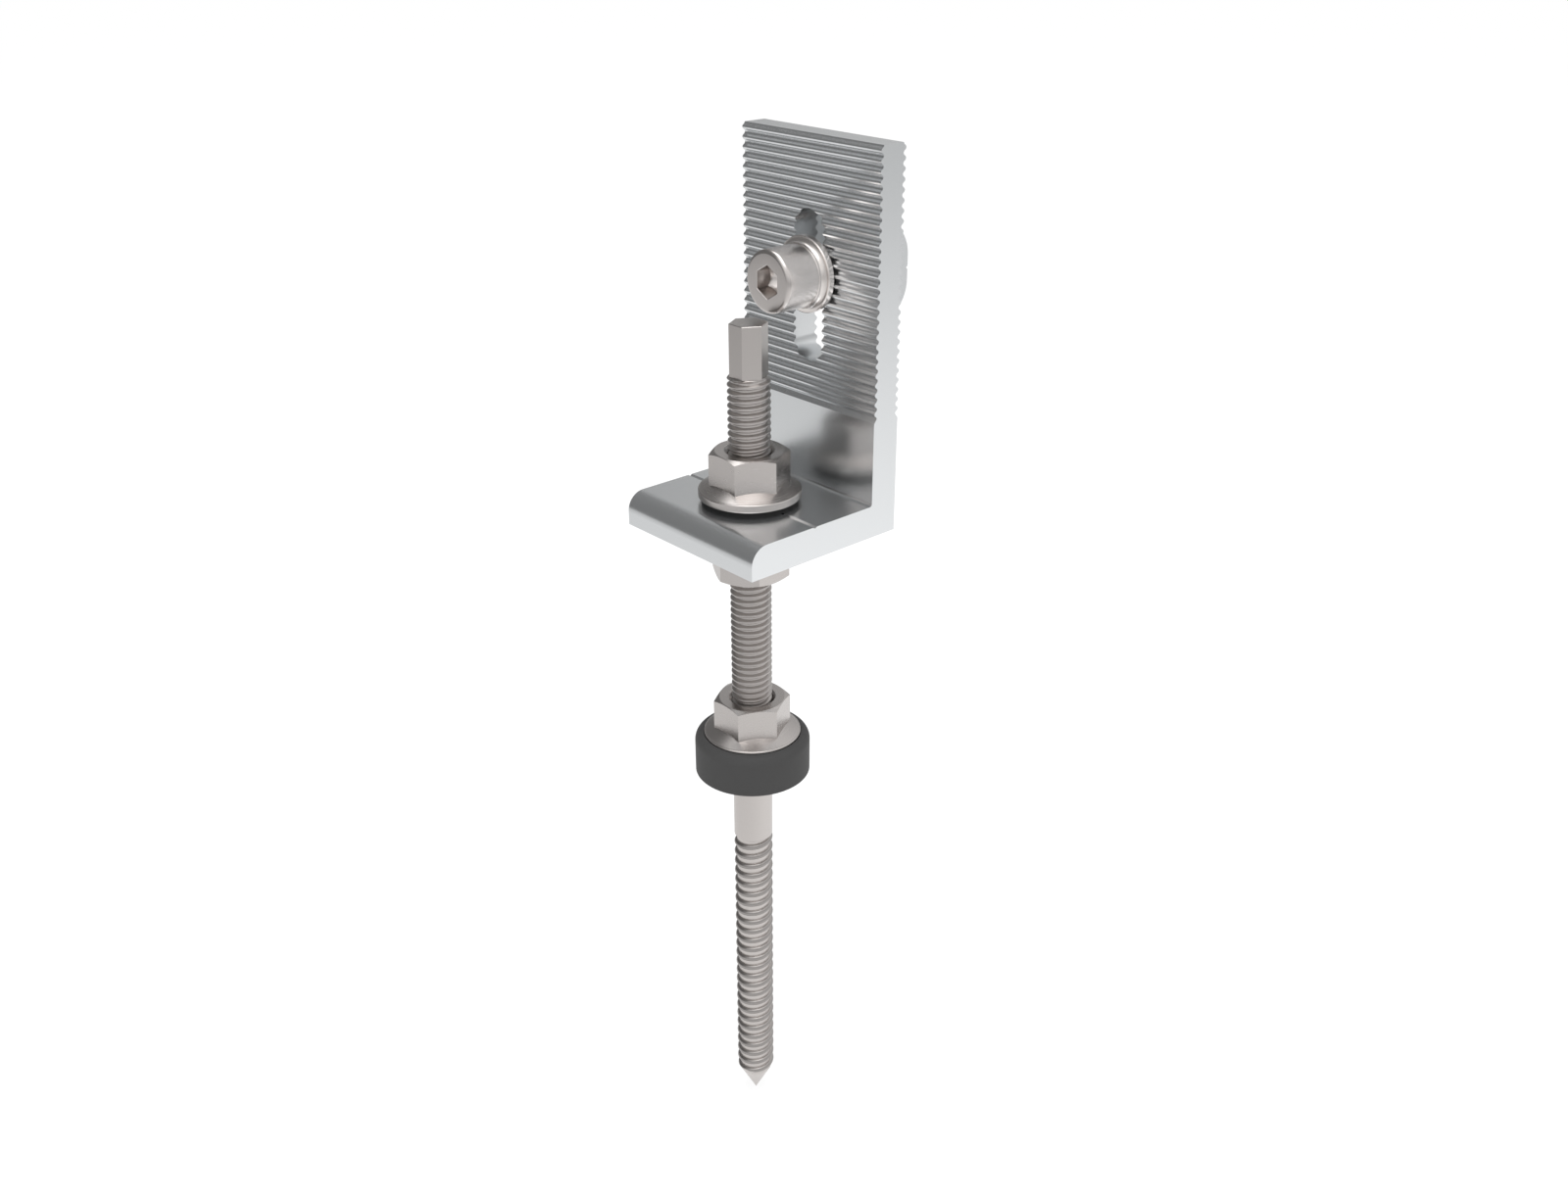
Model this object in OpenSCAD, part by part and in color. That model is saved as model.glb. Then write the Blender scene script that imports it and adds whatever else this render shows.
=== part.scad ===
// Solar mounting L bracket on a hanger bolt, in millimetres.
// Z runs up the hanger bolt. The origin is on the bolt axis, on the underside
// of the sealing washer, which is the roof surface. X runs along the width of
// the bracket, its leg stands at +Y and its foot reaches toward -Y.

/* [Part to draw] */
// sub-part shown

/* [Bracket] */
// width of the bracket along X, the length cut from the profile
bracket_w = 40; // [30:1:80]
// depth of the foot from its front edge to the back of the leg
foot_l = 40; // [38:1:60]
// thickness of the foot plate
foot_t = 7; // [5:0.5:10]
// height of the leg from the underside of the foot
leg_h = 80; // [76:1:110]
// thickness of the leg across the ridge tips
leg_t = 6.8; // [5.5:0.1:9]
// height of the underside of the foot above the roof
foot_z = 58.5; // [40:0.5:62]
// distance from the bolt axis to the back of the leg
hole_back = 23; // [20:0.5:26]
// diameter of the bolt hole in the foot
foot_hole_d = 11; // [10:0.5:13]
// rounding of the front top edge of the foot
foot_round = 4; // [1:0.5:4.5]
// width of the guide groove across the foot
guide_w = 1; // [0.4:0.1:2]
// depth of the guide groove across the foot
guide_depth = 0.4; // [0.2:0.1:1]
// fillet in the corner between foot and leg
inner_fillet = 0.6; // [0.3:0.1:2]

/* [Ridges] */
// spacing of the ridges on both faces of the leg
ridge_pitch = 2; // [1.5:0.1:2.2]
// depth of the grooves between the ridges
ridge_depth = 0.75; // [0.3:0.05:1]
// share of half a ridge taken by the gentle slope at its tip and at its root
ridge_ease = 0.33; // [0.1:0.01:0.4]
// share of the ridge depth taken by each gentle slope
ridge_ease_in = 0.2; // [0.05:0.01:0.3]
// number of ridges down each face of the leg
ridge_count = 27; // [20:1:27]

/* [Slot] */
// width of the slot in the leg
slot_w = 8.5; // [8.4:0.1:11]
// length of the slot, over its round ends
slot_len = 31.6; // [24:0.2:34]
// height of the middle of the slot above the underside of the foot
slot_mid = 49.6; // [48:0.2:52]

/* [Hanger bolt] */
// whole length of the hanger bolt
bolt_len = 200; // [180:5:240]
// height of the top of the hex drive above the roof
drive_top = 103.6; // [100:0.2:110]
// width across flats of the hex drive
drive_af = 7; // [5:0.5:7]
// height of the hex drive
drive_h = 11; // [6:0.5:14]
// crest diameter of the machine thread
thread_d = 9; // [8:0.1:10]
// depth of the machine thread
thread_depth = 0.78; // [0.4:0.02:0.92]
// pitch of the machine thread
thread_pitch = 1.5; // [1:0.25:2]
// height above the roof where the machine thread ends
thread_end = 0; // [0:0.5:7]
// diameter of the plain shank
shank_d = 8.9; // [8:0.1:10]
// length of plain shank below the roof
shank_below = 18.5; // [6:0.5:30]
// crest diameter of the wood thread
wood_d = 9; // [8:0.1:10]
// root diameter of the wood thread
wood_root_d = 7.7; // [6.5:0.1:7.9]
// pitch of the wood thread
wood_pitch = 2.7; // [2:0.1:4]
// width of a rounded ridge of the wood thread
wood_ridge_w = 1.4; // [1:0.1:1.9]
// length of the point, up to the crests of the wood thread
point_h = 8.8; // [6:0.1:14]

/* [Flange nuts] */
// width across flats of the nuts
nut_af = 15; // [13:0.5:17]
// height of the nuts
nut_h = 10; // [8:0.5:12]
// diameter of the nut flanges
flange_d = 21.8; // [20:0.1:24]
// thickness of the flange at its rim
flange_t = 1.8; // [1.2:0.1:2.4]
// slope of the flange top in degrees
flange_slope = 24; // [12:1:28]
// rounding of the flange rim
rim_round = 0.35; // [0.1:0.05:0.6]
// diameter of the flat circle on the hex end
nut_face_d = 14.6; // [12:0.1:15]
// slope of the hex corner chamfer in degrees
nut_chamfer_a = 26; // [10:1:40]
// gap between a nut and the thread crests
nut_gap = 0.1; // [0.05:0.05:0.3]
// width of the countersink at each end of the nut hole
nut_sink = 0.7; // [0.3:0.1:1.2]
// turn of the top nut about the bolt in degrees
top_nut_turn = -2; // [-30:1:30]
// turn of the under nut about the bolt in degrees
under_nut_turn = 31; // [0:1:60]
// turn of the seal nut about the bolt in degrees
seal_nut_turn = -2; // [-30:1:30]

/* [Washers] */
// diameter of the sealing washer
seal_d = 26; // [23:0.5:32]
// height of the sealing washer
seal_h = 9.6; // [8:0.1:12]
// rounding of the upper edge of the sealing washer
seal_round = 2.2; // [0.4:0.1:2.6]
// how deep the seal nut is pressed into the sealing washer
seal_bite = 1.3; // [0.2:0.1:1.6]
// play around the flange in the pressed hollow
seal_play = 0.15; // [0.05:0.05:0.3]
// diameter of the washer under the top nut
foot_washer_d = 20.4; // [16:0.2:22]
// thickness of the washer under the top nut
foot_washer_h = 1.2; // [0.8:0.1:2]
// gap between the washers and the bolt
washer_gap = 0.1; // [0.05:0.05:0.3]

/* [Cap screw] */
// height of the screw axis above the underside of the foot
screw_h = 52.3; // [46:0.1:58]
// diameter of the screw head
head_d = 13; // [12:0.1:14]
// height of the screw head in front of its neck
head_h = 8.5; // [6:0.1:9]
// rounding of the front edge of the head
head_round = 0.9; // [0.2:0.1:1.2]
// radius of the hollow neck between head and flange
neck_round = 1.2; // [0.5:0.1:1.3]
// width of the fine groove around the head next to the neck
head_groove_w = 0.4; // [0.2:0.1:0.8]
// depth of the fine groove around the head
head_groove_depth = 0.12; // [0.05:0.01:0.3]
// diameter of the screw flange
screw_flange_d = 15.8; // [15.6:0.1:18]
// thickness of the screw flange
screw_flange_t = 1.5; // [1:0.1:2.5]
// width across flats of the hex socket
socket_af = 6; // [5:0.5:7]
// depth of the hex socket at its corners
socket_h = 3; // [2.5:0.1:4.5]
// depth of the hex socket where its flats end
socket_flat_h = 4.4; // [4.4:0.1:5.5]
// crest diameter of the screw thread
screw_d = 7.9; // [6:0.1:8]
// depth of the screw thread
screw_thread_depth = 0.62; // [0.3:0.02:0.8]
// pitch of the screw thread
screw_pitch = 1.25; // [0.8:0.05:1.5]
// length of the screw under its flange
screw_len = 20; // [16:1:24]

/* [Slot nut] */
// length of the slot nut along X
slot_nut_l = 20; // [15:1:30]
// height of the slot nut
slot_nut_h = 20; // [17:0.5:22]
// room for the lips of the rail between the leg and the slot nut
lip_gap = 3; // [2:0.5:4]
// depth of the slot nut from its front face to its back
slot_nut_t = 9.1; // [8.5:0.1:12]
// rounding of the back corners of the slot nut
slot_nut_round = 7.4; // [3:0.2:8]
// depth of the centring groove on its back
slot_nut_v = 0.4; // [0.2:0.1:1]
// gap between the slot nut and the screw crests
slot_nut_gap = 0.1; // [0.05:0.05:0.3]

/* [Hidden] */
$fn = 96;
eps = 0.5;
leg_back = hole_back;
leg_front = hole_back - leg_t;
foot_front = hole_back - foot_l;
foot_top = foot_z + foot_t;
leg_top = foot_z + leg_h;
screw_z = foot_z + screw_h;
nut_front = leg_back + lip_gap;
ridge_up = [0, ridge_ease, 1 - ridge_ease, 1, 1 + ridge_ease, 2 - ridge_ease];
ridge_in = [1, 1 - ridge_ease_in, ridge_ease_in, 0, ridge_ease_in, 1 - ridge_ease_in];
thread_r = thread_d / 2;
thread_root = thread_r - thread_depth;
thread_top = drive_top - drive_h;
thread_turns = floor((thread_top - thread_end - 1) / thread_pitch);
bolt_tip = drive_top - bolt_len;
wood_r = wood_d / 2;
wood_root = wood_root_d / 2;
root_cone_h = point_h * wood_root / wood_r;
wood_turns = floor((-shank_below - bolt_tip - root_cone_h) / wood_pitch);
under_nut_z = foot_z;
top_nut_z = foot_top + foot_washer_h;
seal_nut_z = seal_h - seal_bite;
nut_hole_r = thread_r + nut_gap;
flange_r = flange_d / 2;
cone_in = nut_af / 2 - 0.8;
cone_rise = (flange_r - rim_round - cone_in) * tan(flange_slope);
nut_corner = nut_af / cos(30);
chamfer_drop = (nut_corner / 2 - nut_face_d / 2) * tan(nut_chamfer_a);
head_end = screw_flange_t + neck_round + head_h;
screw_r = screw_d / 2;
screw_root = screw_r - screw_thread_depth;
screw_turns = floor((screw_len - 4) / screw_pitch);

// outline of the foot, seen along X: first coordinate Y, second Z
module foot_outline() {
    difference() {
        union() {
            translate([foot_front + foot_round, foot_z])
                square([foot_l - foot_round, foot_t]);
            translate([foot_front, foot_z])
                square([foot_round + eps, foot_t - foot_round]);
            intersection() {
                translate([foot_front + foot_round, foot_top - foot_round])
                    circle(r = foot_round);
                translate([foot_front, foot_top - foot_round])
                    square([foot_round + eps, foot_round]);
            }
        }
        translate([0, foot_top])
            polygon([[-guide_w / 2, 0.01], [0, -guide_depth], [guide_w / 2, 0.01]]);
    }
}

// outline of the leg with ridges on both faces, each with an eased tip and root
module leg_outline() {
    polygon(concat(
        [[leg_front, foot_z + 1],
            [leg_front, leg_top - ridge_pitch * ridge_count - ridge_pitch / 2]],
        [for (k = [ridge_count : -1 : 1])
            for (s = [0 : 5])
                [leg_front + ridge_depth * ridge_in[s],
                    leg_top - ridge_pitch * k + ridge_pitch / 2 * ridge_up[s]]],
        [[leg_front + ridge_depth, leg_top], [leg_back - ridge_depth, leg_top]],
        [for (k = [1 : ridge_count])
            for (s = [5 : -1 : 0])
                [leg_back - ridge_depth * ridge_in[s],
                    leg_top - ridge_pitch * k + ridge_pitch / 2 * ridge_up[s]]],
        [[leg_back, leg_top - ridge_pitch * ridge_count - ridge_pitch / 2],
            [leg_back, foot_z + 1]]
    ));
}

module corner_fill() {
    difference() {
        translate([leg_front - inner_fillet, foot_top - 1])
            square([inner_fillet + 1, inner_fillet + 1]);
        translate([leg_front - inner_fillet, foot_top + inner_fillet])
            circle(r = inner_fillet);
    }
}

// extrudes an outline along X, centred on the bolt
module along_x(length) {
    rotate([90, 0, 90])
        translate([0, 0, -length / 2])
            linear_extrude(height = length)
                children();
}

module l_bracket() {
    color([0.78, 0.79, 0.8])
    difference() {
        union() {
            along_x(bracket_w)
                foot_outline();
            along_x(bracket_w)
                leg_outline();
            along_x(bracket_w)
                corner_fill();
        }
        translate([0, 0, foot_z - 1])
            cylinder(d = foot_hole_d, h = foot_t + 2);
        translate([0, leg_back + 1, foot_z + slot_mid])
            rotate([90, 0, 0])
                linear_extrude(height = leg_t + 2)
                    slot_outline();
    }
}

// stadium outline of the slot, standing up
module slot_outline() {
    union() {
        translate([0, slot_len / 2 - slot_w / 2])
            circle(d = slot_w);
        translate([0, -slot_len / 2 + slot_w / 2])
            circle(d = slot_w);
        translate([-slot_w / 2, -slot_len / 2 + slot_w / 2])
            square([slot_w, slot_len - slot_w]);
    }
}

module hexagon(af) {
    circle(d = af / cos(30), $fn = 6);
}

// point on a wood thread ridge, cut back where the cone of the point is narrower
function ridge_point(middle, a) =
    let (z = middle + wood_ridge_w / 2 * sin(a))
        [min(wood_root + (wood_r - wood_root) * cos(a), wood_r * (z - bolt_tip) / point_h), z];

// half outline of the threaded rod: machine thread, shank, wood thread, point
module bolt_outline() {
    polygon(concat(
        [[0, bolt_tip]],
        [[wood_root, bolt_tip + root_cone_h]],
        [for (k = [wood_turns - 1 : -1 : 0])
            for (a = [-90 : 30 : 90])
                ridge_point(-shank_below - wood_pitch * (k + 0.5), a)],
        [[wood_root, -shank_below], [shank_d / 2, -shank_below + 0.6]],
        [[shank_d / 2, thread_end], [thread_root, thread_end + 0.5]],
        [for (k = [thread_turns - 1 : -1 : 0])
            for (s = [0, 1, 2])
                [s == 0 ? thread_root : thread_r,
                    thread_top - thread_pitch * k - thread_pitch * [0.98, 0.6, 0.4][s]]],
        [[thread_root, thread_top], [0, thread_top]]
    ));
}

module hanger_bolt() {
    color([0.68, 0.66, 0.65])
    union() {
        rotate_extrude()
            bolt_outline();
        translate([0, 0, thread_top - 0.3])
            linear_extrude(height = drive_h + 0.3)
                hexagon(drive_af);
    }
}

// half outline of the flange: rounded rim under a sloping top
module flange_outline() {
    union() {
        polygon([[0, 0], [flange_r - rim_round, 0], [flange_r - rim_round, flange_t],
            [cone_in, flange_t + cone_rise], [0, flange_t + cone_rise]]);
        translate([flange_r - rim_round, rim_round])
            intersection() {
                circle(r = rim_round);
                translate([0, -rim_round])
                    square([rim_round, 2 * rim_round]);
            }
        translate([flange_r - rim_round, flange_t - rim_round])
            intersection() {
                circle(r = rim_round);
                translate([0, -rim_round])
                    square([rim_round, 2 * rim_round]);
            }
        translate([flange_r - rim_round - 0.01, rim_round])
            square([rim_round + 0.01, flange_t - 2 * rim_round]);
    }
}

// flange nut standing on z = 0 with its flange down
module flange_nut() {
    difference() {
        union() {
            rotate_extrude()
                flange_outline();
            intersection() {
                translate([0, 0, 0.2])
                    linear_extrude(height = nut_h - 0.2)
                        hexagon(nut_af);
                rotate_extrude()
                    polygon([[0, 0], [nut_corner / 2 + 1, 0],
                        [nut_corner / 2 + 1, nut_h - chamfer_drop - tan(nut_chamfer_a)],
                        [nut_face_d / 2, nut_h], [0, nut_h]]);
            }
        }
        rotate_extrude()
            polygon([[0, -1], [nut_hole_r + nut_sink + 1, -1], [nut_hole_r, nut_sink],
                [nut_hole_r, nut_h - nut_sink], [nut_hole_r + nut_sink + 1, nut_h + 1],
                [0, nut_h + 1]]);
    }
}

module top_flange_nut() {
    color([0.72, 0.7, 0.69])
    translate([0, 0, top_nut_z])
        rotate([0, 0, top_nut_turn])
            flange_nut();
}

module under_flange_nut() {
    color([0.72, 0.7, 0.69])
    translate([0, 0, under_nut_z])
        rotate([0, 0, under_nut_turn])
            rotate([180, 0, 0])
                flange_nut();
}

module seal_flange_nut() {
    color([0.72, 0.7, 0.69])
    translate([0, 0, seal_nut_z])
        rotate([0, 0, seal_nut_turn])
            flange_nut();
}

module foot_washer() {
    color([0.1, 0.1, 0.1])
    translate([0, 0, foot_top])
        difference() {
            cylinder(d = foot_washer_d, h = foot_washer_h);
            translate([0, 0, -1])
                cylinder(r = thread_r + washer_gap, h = foot_washer_h + 2);
        }
}

module seal_outline() {
    difference() {
        union() {
            translate([0, 0])
                square([seal_d / 2, seal_h - seal_round]);
            translate([0, 0])
                square([seal_d / 2 - seal_round, seal_h]);
            translate([seal_d / 2 - seal_round, seal_h - seal_round])
                circle(r = seal_round);
        }
        translate([-1, -1])
            square([thread_r + washer_gap + 1, seal_h + 2]);
        translate([0, seal_nut_z])
            square([flange_r + seal_play, seal_bite + 1]);
    }
}

module sealing_washer() {
    color([0.2, 0.2, 0.2])
    rotate_extrude()
        seal_outline();
}

// half outline of the threaded shaft below the flange
module shaft_outline() {
    polygon(concat(
        [[0, screw_flange_t]],
        [[0, -screw_len], [screw_root - 0.4, -screw_len]],
        [for (k = [screw_turns - 1 : -1 : 0])
            for (s = [0, 1, 2])
                [s == 0 ? screw_root : screw_r,
                    -3.6 - screw_pitch * k - screw_pitch * [0.98, 0.6, 0.4][s]]],
        [[screw_root, -3.6], [screw_root, screw_flange_t]]
    ));
}

// half outline of the head, its hollow neck and its flange
module head_outline() {
    difference() {
        union() {
            polygon([[0, 0], [screw_flange_d / 2 - 0.15, 0], [screw_flange_d / 2, 0.15],
                [screw_flange_d / 2, screw_flange_t - 0.2], [screw_flange_d / 2 - 0.2, screw_flange_t],
                [0, screw_flange_t]]);
            translate([0, screw_flange_t - 0.5])
                square([head_d / 2 + neck_round, 0.5]);
            difference() {
                translate([0, screw_flange_t - 0.01])
                    square([head_d / 2 + neck_round, neck_round + 0.01]);
                translate([head_d / 2 + neck_round, screw_flange_t + neck_round])
                    circle(r = neck_round);
            }
            translate([0, screw_flange_t])
                square([head_d / 2, head_end - head_round - screw_flange_t]);
            translate([0, screw_flange_t])
                square([head_d / 2 - head_round, head_end - screw_flange_t]);
            translate([head_d / 2 - head_round, head_end - head_round])
                circle(r = head_round);
        }
        translate([head_d / 2, screw_flange_t + neck_round + head_groove_w / 2])
            polygon([[0.01, -head_groove_w / 2], [-head_groove_depth, -head_groove_w / 4],
                [-head_groove_depth, head_groove_w / 4], [0.01, head_groove_w / 2]]);
    }
}

// key socket, cut down from the head end, with a bored cone at its bottom
module key_socket() {
    translate([0, 0, head_end])
        intersection() {
            translate([0, 0, -8])
                rotate([0, 0, 90])
                    linear_extrude(height = 9)
                        hexagon(socket_af);
            rotate_extrude()
                polygon([[0, 1], [socket_af, 1], [socket_af, -socket_h],
                    [socket_af / cos(30) / 2, -socket_h], [socket_af * 0.43, -socket_flat_h],
                    [0, -socket_flat_h - socket_af * 0.43 * tan(30)]]);
        }
}

module cap_screw() {
    color([0.7, 0.68, 0.67])
    translate([0, leg_front, screw_z])
        rotate([90, 0, 0])
            difference() {
                union() {
                    rotate_extrude()
                        shaft_outline();
                    rotate_extrude()
                        head_outline();
                }
                key_socket();
            }
}

// outline of the slot nut, seen along X, with its front face on Y = 0
module slot_nut_outline() {
    difference() {
        intersection() {
            translate([0, -slot_nut_h / 2])
                square([slot_nut_t, slot_nut_h]);
            union() {
                translate([0, -slot_nut_h / 2])
                    square([slot_nut_t - slot_nut_round, slot_nut_h]);
                translate([0, -slot_nut_h / 2 + slot_nut_round])
                    square([slot_nut_t, slot_nut_h - 2 * slot_nut_round]);
                translate([slot_nut_t - slot_nut_round, slot_nut_h / 2 - slot_nut_round])
                    circle(r = slot_nut_round);
                translate([slot_nut_t - slot_nut_round, -slot_nut_h / 2 + slot_nut_round])
                    circle(r = slot_nut_round);
            }
        }
        translate([slot_nut_t, 0])
            polygon([[0.01, -slot_nut_v], [-slot_nut_v, 0], [0.01, slot_nut_v]]);
    }
}

module slot_nut() {
    color([0.75, 0.76, 0.77])
    difference() {
        along_x(slot_nut_l)
            translate([nut_front, screw_z])
                slot_nut_outline();
        translate([0, nut_front - 1, screw_z])
            rotate([-90, 0, 0])
                cylinder(r = screw_r + slot_nut_gap, h = slot_nut_t + 2);
    }
}

l_bracket();
hanger_bolt();
top_flange_nut();
under_flange_nut();
seal_flange_nut();
foot_washer();
sealing_washer();
cap_screw();
slot_nut();
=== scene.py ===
"""Looks of a solar L bracket on its hanger bolt, laid out as a Blender add-on.

The frame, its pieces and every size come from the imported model. The scene adds the true
helical threads, a finish for each surface and a small photo studio.
"""
import math

import bmesh
import bpy
import numpy as np
from bpy.props import FloatProperty, FloatVectorProperty, IntProperty, PointerProperty
from mathutils import Euler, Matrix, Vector


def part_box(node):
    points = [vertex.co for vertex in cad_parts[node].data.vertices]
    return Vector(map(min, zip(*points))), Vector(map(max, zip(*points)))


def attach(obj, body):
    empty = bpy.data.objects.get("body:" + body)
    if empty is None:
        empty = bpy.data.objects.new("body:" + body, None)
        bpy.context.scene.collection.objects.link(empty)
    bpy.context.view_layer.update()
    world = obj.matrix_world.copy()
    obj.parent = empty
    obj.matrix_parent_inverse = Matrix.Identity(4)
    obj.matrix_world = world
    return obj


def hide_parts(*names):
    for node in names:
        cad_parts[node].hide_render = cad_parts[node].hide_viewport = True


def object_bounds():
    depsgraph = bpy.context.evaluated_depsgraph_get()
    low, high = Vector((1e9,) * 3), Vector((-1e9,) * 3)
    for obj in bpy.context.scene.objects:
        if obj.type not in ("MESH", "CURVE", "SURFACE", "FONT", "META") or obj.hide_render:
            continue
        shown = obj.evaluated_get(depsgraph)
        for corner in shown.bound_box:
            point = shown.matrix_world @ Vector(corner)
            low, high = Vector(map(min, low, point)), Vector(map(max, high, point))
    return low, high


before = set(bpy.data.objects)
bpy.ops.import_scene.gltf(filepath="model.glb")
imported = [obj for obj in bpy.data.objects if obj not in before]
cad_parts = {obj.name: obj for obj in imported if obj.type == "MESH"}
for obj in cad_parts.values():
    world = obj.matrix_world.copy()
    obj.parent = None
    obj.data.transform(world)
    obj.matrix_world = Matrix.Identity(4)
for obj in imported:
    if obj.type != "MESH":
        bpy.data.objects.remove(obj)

bl_info = {
    "name": "Solar L bracket looks",
    "version": (1, 0, 0),
    "blender": (4, 5, 0),
    "location": "View3D > Sidebar > L bracket",
    "description": "Threads, finishes and studio for a solar L bracket on a hanger bolt",
    "category": "Object",
}

MM = 0.001
CAD_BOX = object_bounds()
BOLT_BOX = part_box("hanger_bolt")
SCREW_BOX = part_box("cap_screw")

# Outline of a machine thread over one pitch: (share of the pitch, share of the depth)
METRIC = [(0.0, 0.0), (0.08, 0.0), (0.14, 0.07), (0.36, 0.92), (0.43, 1.0), (0.57, 1.0),
          (0.64, 0.92), (0.86, 0.07), (0.92, 0.0)]
# Angles of the points on the wood thread's half-round ridge, in degrees from its crest
BEAD = (-90, -68, -45, -20, 0, 20, 45, 68, 90)

# Painted light and shade: factors that lighten or darken the steel where it would catch brighter
# or darker reflections. A thread has three: at its root, at its crest and on a cone that cuts it
# Bolt threads: painted light at the roots and on the point's cone, painted shade on the crests. The cap
# screw's thread has painted shade at its root and on its crest
WOOD_PAINTED_SHADE = (1.18, 0.68, 1.3)
MACHINE_PAINTED_SHADE = (1.06, 0.92, 1.0)
SCREW_PAINTED_SHADE = (0.7, 0.9, 1.0)
# Power of the change from the painted light and shade at the root to that at the crest
PAINTED_SHADE_POWER = 0.3
# Painted shade darkens the very point of the bolt, and painted light brightens its plain shank
TIP_PAINTED_SHADE = 0.5
SHANK_PAINTED_LIGHT = 1.12
# Painted light on the cap screw's head side, neck and flange, standing in for the bright reflections
# they catch, and a touch of painted shade on its face and socket
HEAD_SIDE_PAINTED_LIGHT = 1.22
HEAD_FACE_PAINTED_SHADE = 0.97

# Points nearer than this are merged, and edges sharper than this angle stay sharp
MERGE = 2e-7
SHARP = math.radians(32)
# Height of the relief that the finishes carry, in metres
RELIEF = 0.00002
# Sockets of a Mix node that is set to colours
COLOUR_A, COLOUR_B, COLOUR_OUT = 6, 7, 2
# Angle from the middle of a hexagon's side to its corner
HEX_HALF = math.radians(30)

# The studio floor lies this far under the part
FLOOR_GAP = 0.0002
# In reflections the floor fades with the distance from this place: its strength there, the
# distance at which half of it is left and the power of the fall. The camera sees one strength.
FLOOR_MIDDLE = (0.2, 0.2)
FLOOR_GLOW, FLOOR_REACH, FLOOR_FALL = 1.21, 1.04, 1.25
FLOOR_SEEN = 1.12
# Share of that glow in the floor's colour, the rest is white paper in the lights
FLOOR_SHARE = 0.76
# The light tent: radius, columns round it and rows from just under the floor to its top
TENT_RADIUS, TENT_COLUMNS, TENT_ROWS, TENT_LOWEST = 2.0, 144, 60, -0.1
# White cloth has brightness 1. These are taken away from it in places, and the lamps are added
GREY_SIDE, GREY_LOW, DARK_CARD, DIM_HORIZON, DIM_TOP = 0.36, 0.11, 0.45, 0.42, 0.2
LONG_LAMP, ROUND_LAMP = 2.1, 0.65


# Settings

def length(name, text, value, low=0.0):
    """A length in metres that the sidebar shows with its unit."""
    return FloatProperty(name=name, description=text, default=value, min=low, unit="LENGTH",
                         subtype="DISTANCE", precision=5)


def tint(name, text, value):
    """A surface colour, red green blue from 0 to 1."""
    return FloatVectorProperty(name=name, description=text, default=value, size=3,
                               subtype="COLOR", min=0.0, max=1.0)


class HangerBoltSizes(bpy.types.PropertyGroup):
    """Sizes of the hanger bolt: hex drive, machine thread, shank, wood thread and point."""
    drive_flats: length("Drive flats", "Width across the flats of the hex drive", 7 * MM)
    drive_height: length("Drive height", "Height of the hex drive", 11 * MM)
    crest: length("Thread crest", "Diameter over the crests of the machine thread", 9 * MM)
    depth: length("Thread depth", "Depth of the machine thread", 0.78 * MM)
    pitch: length("Thread pitch", "Pitch of the machine thread", 1.5 * MM)
    shank: length("Shank", "Diameter of the plain shank", 8.9 * MM)
    shank_below: length("Shank length", "Length of the shank below the roof", 18.5 * MM)
    wood_crest: length("Wood thread crest", "Diameter over the crests of the wood thread", 9 * MM)
    wood_root: length("Wood thread root", "Diameter at the root of the wood thread", 7.7 * MM)
    wood_pitch: length("Wood thread pitch", "Pitch of the wood thread", 2.7 * MM)
    wood_bead: length("Wood thread width", "Width of the wood thread's rounded ridge", 1.4 * MM)
    wood_phase: FloatProperty(name="Wood thread start", description="Turn of the wood thread, in turns",
                              default=0.896, min=0.0, max=1.0)
    phase: FloatProperty(name="Thread start", description="Turn of the machine thread, in turns",
                         default=0.06, min=0.0, max=1.0)
    point: length("Point", "Length of the point", 8.8 * MM)
    columns: IntProperty(name="Columns", description="Faces round the bolt", default=72, min=12)


class CapScrewSizes(bpy.types.PropertyGroup):
    """Sizes of the flanged cap screw that clamps the slot nut."""
    head: length("Head", "Diameter of the head", 13 * MM)
    head_height: length("Head height", "Height of the head in front of its neck", 8.5 * MM)
    head_round: length("Head rounding", "Rounding of the head's front edge", 0.9 * MM)
    neck_round: length("Neck", "Radius of the hollow neck", 1.2 * MM)
    groove: length("Groove width", "Width of the fine groove next to the neck", 0.4 * MM)
    groove_depth: length("Groove depth", "Depth of the fine groove", 0.12 * MM)
    flange: length("Flange", "Diameter of the flange", 15.8 * MM)
    flange_height: length("Flange height", "Thickness of the flange", 1.5 * MM)
    flats: length("Socket flats", "Width across the flats of the key socket", 6 * MM)
    socket: length("Socket corners", "Depth of the key socket at its corners", 3 * MM)
    socket_flat: length("Socket flats depth", "Depth of the key socket at its flats", 4.4 * MM)
    crest: length("Thread crest", "Diameter over the crests of the thread", 7.9 * MM)
    depth: length("Thread depth", "Depth of the thread", 0.62 * MM)
    pitch: length("Thread pitch", "Pitch of the thread", 1.25 * MM)
    plain: length("Plain shaft", "Plain length under the flange", 3.6 * MM)
    columns: IntProperty(name="Columns", description="Faces round the screw", default=96, min=24)


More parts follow.
